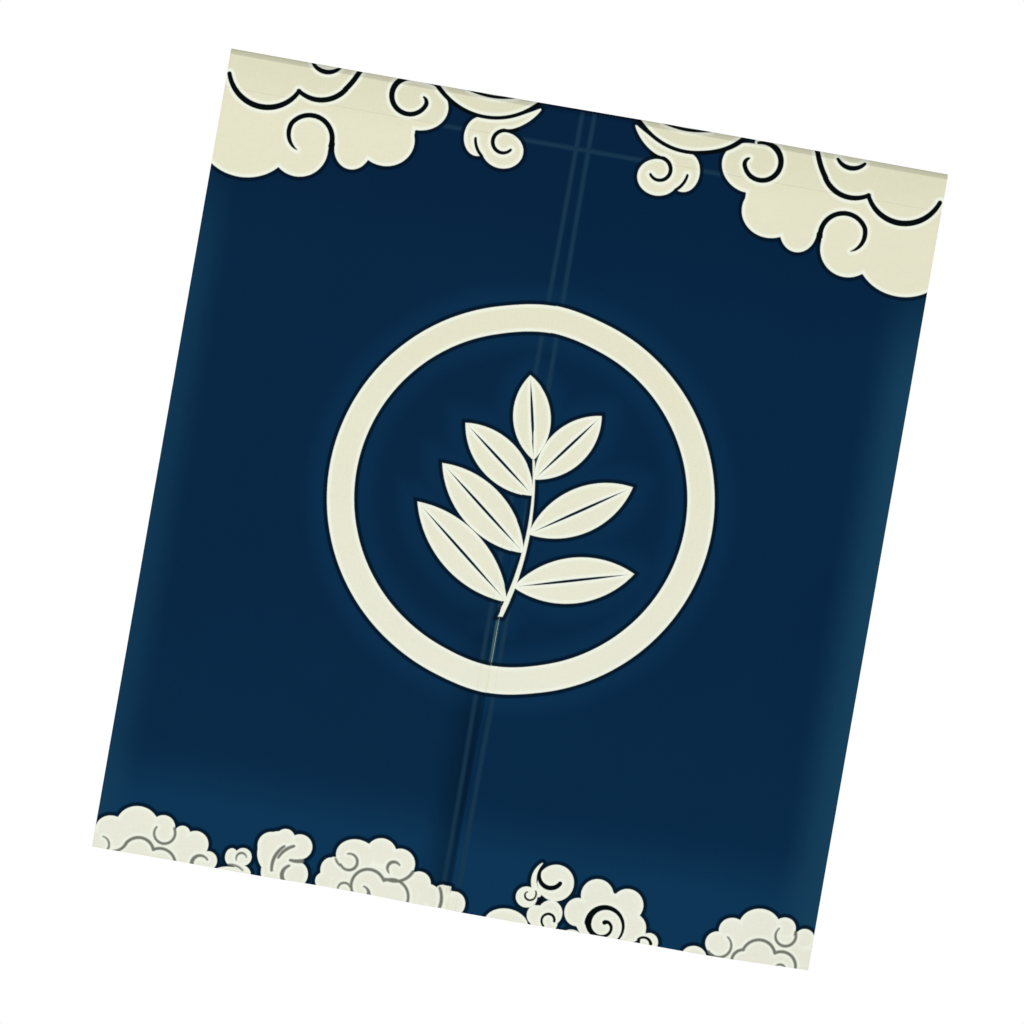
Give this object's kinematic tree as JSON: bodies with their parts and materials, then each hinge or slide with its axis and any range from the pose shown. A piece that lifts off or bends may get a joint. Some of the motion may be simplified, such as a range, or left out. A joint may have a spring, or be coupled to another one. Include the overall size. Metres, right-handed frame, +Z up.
{
  "type": "door curtain",
  "caption": "Short split door curtain: printed cloth panels joined at the top under a rod-pocket heading, hanging apart below the slit.",
  "frame": {"origin": "middle of the heading's top fold, where a rod holds the curtain", "axes": "+Z up along the drop, the printed front faces -Y, +X along the heading to the right of someone facing the front"},
  "size_m": [0.8, 0.0171, 0.8933],
  "materials": {
    "printed_cloth": "matt plain-weave cloth, indigo ground with cream print",
    "heading_cloth": "matt plain-weave cloth, cream print on an indigo ground"
  },
  "bodies": {
    "root": {"heading": "heading_cloth", "left_panel": "printed_cloth", "right_panel": "printed_cloth"}
  },
  "joints": []
}
